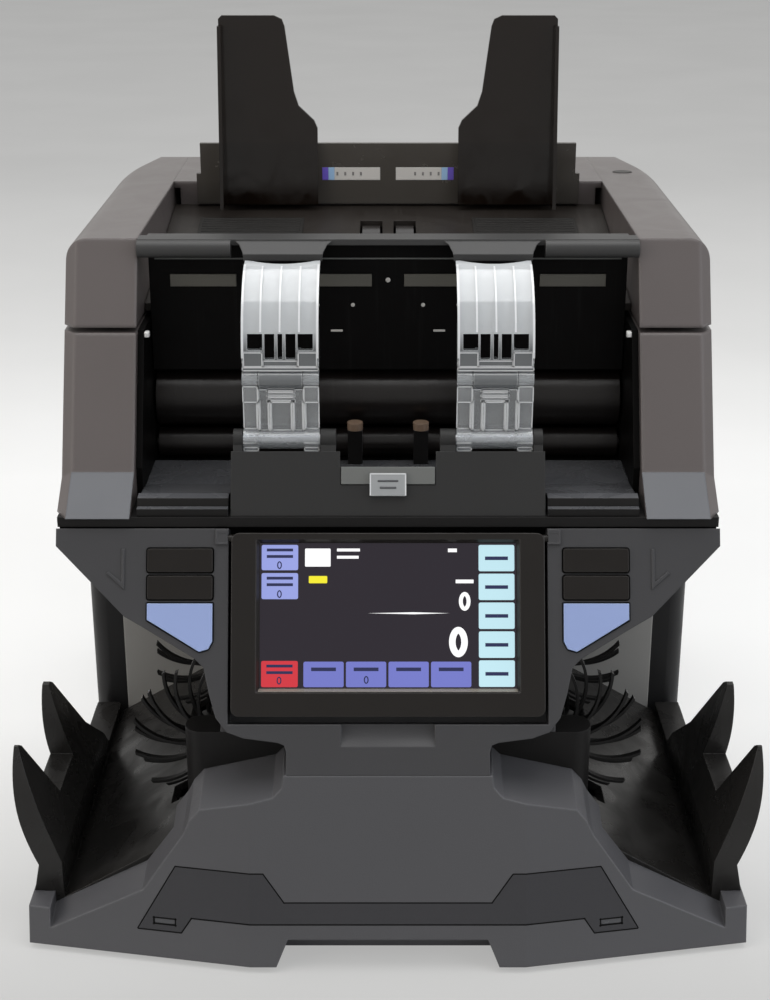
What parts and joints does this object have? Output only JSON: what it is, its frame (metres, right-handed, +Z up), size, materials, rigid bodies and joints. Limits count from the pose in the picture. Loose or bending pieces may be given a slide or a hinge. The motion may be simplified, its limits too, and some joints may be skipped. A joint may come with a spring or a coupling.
{
  "type": "banknote sorter",
  "caption": "Desktop banknote sorter with top hopper, hinged hopper unit, clear reject arms, tilting display between key wings and two side pockets with finger stacker wheels.",
  "frame": {"origin": "middle of the footprint box, on the surface that the feet stand on", "axes": "+Z up, +Y from the front with the display to the back, +X to the right of the front"},
  "size_m": [0.293, 0.316, 0.3346],
  "materials": {
    "case_grey": "fine satin grain",
    "cover_grey": "satin painted plastic",
    "panel_grey": "satin",
    "inlay_grey": "fine texture",
    "black_plastic": "semi-gloss black",
    "soft_black": "dark satin",
    "roller_black": "ground rubber",
    "wheel_black": "smooth flexible moulding",
    "key_black": "satin",
    "key_blue": "translucent satin",
    "clear_plastic": "clear moulded",
    "smoked_plastic": "smoked, translucent",
    "pale_plastic": "satin",
    "sensor_bronze": "satin",
    "bed_brown": "satin",
    "screen": "lit screen",
    "steel": "turned",
    "sheet_metal": "folded sheet",
    "board_green": "solder mask",
    "foot_rubber": "matte"
  },
  "bodies": {
    "chassis": {"base_pan": "case_grey", "front_inlay": "inlay_grey", "left_pocket_tray": "black_plastic", "right_pocket_tray": "black_plastic", "rear_housing": "case_grey", "side_pods": "soft_black", "transport_frame": "soft_black", "wing_panel": "panel_grey", "key_modules": "soft_black", "belly_plate": "black_plastic", "left_lower_cover": "cover_grey", "right_lower_cover": "cover_grey", "side_plates": "black_plastic", "reject_tray": "black_plastic", "centre_plate": "panel_grey", "sensor_strip": "pale_plastic", "sensor_prism": "clear_plastic", "sensor_caps": "sensor_bronze", "arm_shafts": "steel", "transport_bed": "soft_black", "rear_panel": "case_grey", "power_inlet": "black_plastic", "hinge_brackets": "steel", "hinge_pins": "steel", "feet": "foot_rubber", "power_supply": "sheet_metal", "main_board": "board_green", "drive_motor": "steel"},
    "display": {"display_bezel": "black_plastic", "lcd_panel": "screen"},
    "hopper_unit": {"left_upper_cover": "cover_grey", "right_upper_cover": "cover_grey", "front_bar": "cover_grey", "upper_guide": "black_plastic", "guide_strips": "pale_plastic", "hopper_bed": "bed_brown", "top_deck": "cover_grey", "guide_bar": "smoked_plastic"},
    "left_note_guide": {"left_guide": "smoked_plastic"},
    "right_note_guide": {"right_guide": "smoked_plastic"},
    "pickup": {"pickup_roller": "roller_black"},
    "reject_upper": {"reject_upper_roller": "roller_black"},
    "reject_lower": {"reject_lower_roller": "roller_black"},
    "left_arm": {"left_arm_lower": "clear_plastic"},
    "left_arm_tip": {"left_arm_upper": "clear_plastic"},
    "right_arm": {"right_arm_lower": "clear_plastic"},
    "right_arm_tip": {"right_arm_upper": "clear_plastic"},
    "left_stacker": {"left_stacker_shaft": "steel", "left_stacker_wheels": "wheel_black"},
    "right_stacker": {"right_stacker_shaft": "steel", "right_stacker_wheels": "wheel_black"},
    "feed_front": {"transport_roller_front": "roller_black"},
    "feed_back": {"transport_roller_back": "roller_black"},
    "rocker": {"power_switch": "soft_black"},
    "left_top_key_body": {"left_top_key": "key_black"},
    "left_mid_key_body": {"left_mid_key": "key_black"},
    "left_start_key_body": {"left_start_key": "key_blue"},
    "right_top_key_body": {"right_top_key": "key_black"},
    "right_mid_key_body": {"right_mid_key": "key_black"},
    "right_start_key_body": {"right_start_key": "key_blue"}
  },
  "joints": [
    {"name": "hopper_hinge", "type": "hinge", "parent": "chassis", "child": "hopper_unit", "pos_m": [0, 0.154, 0.2275], "axis": [-1, 0, 0], "range_deg": [0, 50]},
    {"name": "left_guide_slide", "type": "slide", "parent": "hopper_unit", "child": "left_note_guide", "axis": [-1, 0, 0], "range_m": [-0.025, 0.008]},
    {"name": "right_guide_slide", "type": "slide", "parent": "hopper_unit", "child": "right_note_guide", "axis": [1, 0, 0], "range_m": [-0.025, 0.008]},
    {"name": "pickup_spin", "type": "hinge", "parent": "hopper_unit", "child": "pickup", "pos_m": [0, 0.051, 0.23726], "axis": [1, 0, 0], "continuous": true},
    {"name": "reject_upper_spin", "type": "hinge", "parent": "chassis", "child": "reject_upper", "pos_m": [0, -0.025, 0.1909], "axis": [1, 0, 0], "continuous": true},
    {"name": "reject_lower_spin", "type": "hinge", "parent": "chassis", "child": "reject_lower", "pos_m": [0, -0.029, 0.172], "axis": [1, 0, 0], "continuous": true},
    {"name": "left_arm_fold", "type": "hinge", "parent": "chassis", "child": "left_arm", "pos_m": [-0.04125, -0.0786, 0.18996], "axis": [1, 0, 0], "range_deg": [0, 65]},
    {"name": "left_tip_fold", "type": "hinge", "parent": "left_arm", "child": "left_arm_tip", "pos_m": [-0.04125, -0.0771, 0.21396], "axis": [1, 0, 0], "range_deg": [0, 40]},
    {"name": "right_arm_fold", "type": "hinge", "parent": "chassis", "child": "right_arm", "pos_m": [0.04125, -0.0786, 0.18996], "axis": [1, 0, 0], "range_deg": [0, 65]},
    {"name": "right_tip_fold", "type": "hinge", "parent": "right_arm", "child": "right_arm_tip", "pos_m": [0.04125, -0.0771, 0.21396], "axis": [1, 0, 0], "range_deg": [0, 40]},
    {"name": "display_tilt", "type": "hinge", "parent": "chassis", "child": "display", "pos_m": [0, -0.09936, 0.15686], "axis": [-1, 0, 0], "range_deg": [0, 20]},
    {"name": "left_stacker_spin", "type": "hinge", "parent": "chassis", "child": "left_stacker", "pos_m": [-0.071, -0.052, 0.066], "axis": [0, 1, 0], "continuous": true},
    {"name": "right_stacker_spin", "type": "hinge", "parent": "chassis", "child": "right_stacker", "pos_m": [0.071, -0.052, 0.066], "axis": [0, 1, 0], "continuous": true},
    {"name": "feed_front_spin", "type": "hinge", "parent": "chassis", "child": "feed_front", "pos_m": [0, 0.017, 0.1939], "axis": [1, 0, 0], "continuous": true},
    {"name": "feed_back_spin", "type": "hinge", "parent": "chassis", "child": "feed_back", "pos_m": [0, 0.102, 0.1939], "axis": [1, 0, 0], "continuous": true},
    {"name": "power_rocker", "type": "hinge", "parent": "chassis", "child": "rocker", "pos_m": [0.048, 0.145, 0.045], "axis": [1, 0, 0], "range_deg": [-8, 8]},
    {"name": "left_top_key_press", "type": "slide", "parent": "chassis", "child": "left_top_key_body", "axis": [0, 0.9063, -0.4226], "range_m": [0, 0.0012], "stiffness_N_per_m": 300},
    {"name": "left_mid_key_press", "type": "slide", "parent": "chassis", "child": "left_mid_key_body", "axis": [0, 0.9063, -0.4226], "range_m": [0, 0.0012], "stiffness_N_per_m": 300},
    {"name": "left_start_key_press", "type": "slide", "parent": "chassis", "child": "left_start_key_body", "axis": [0, 0.9063, -0.4226], "range_m": [0, 0.0012], "stiffness_N_per_m": 300},
    {"name": "right_top_key_press", "type": "slide", "parent": "chassis", "child": "right_top_key_body", "axis": [0, 0.9063, -0.4226], "range_m": [0, 0.0012], "stiffness_N_per_m": 300},
    {"name": "right_mid_key_press", "type": "slide", "parent": "chassis", "child": "right_mid_key_body", "axis": [0, 0.9063, -0.4226], "range_m": [0, 0.0012], "stiffness_N_per_m": 300},
    {"name": "right_start_key_press", "type": "slide", "parent": "chassis", "child": "right_start_key_body", "axis": [0, 0.9063, -0.4226], "range_m": [0, 0.0012], "stiffness_N_per_m": 300}
  ],
  "couplings": [
    {"joint": "reject_lower_spin", "follows": "reject_upper_spin", "ratio": -2},
    {"joint": "feed_back_spin", "follows": "feed_front_spin", "ratio": 1}
  ]
}
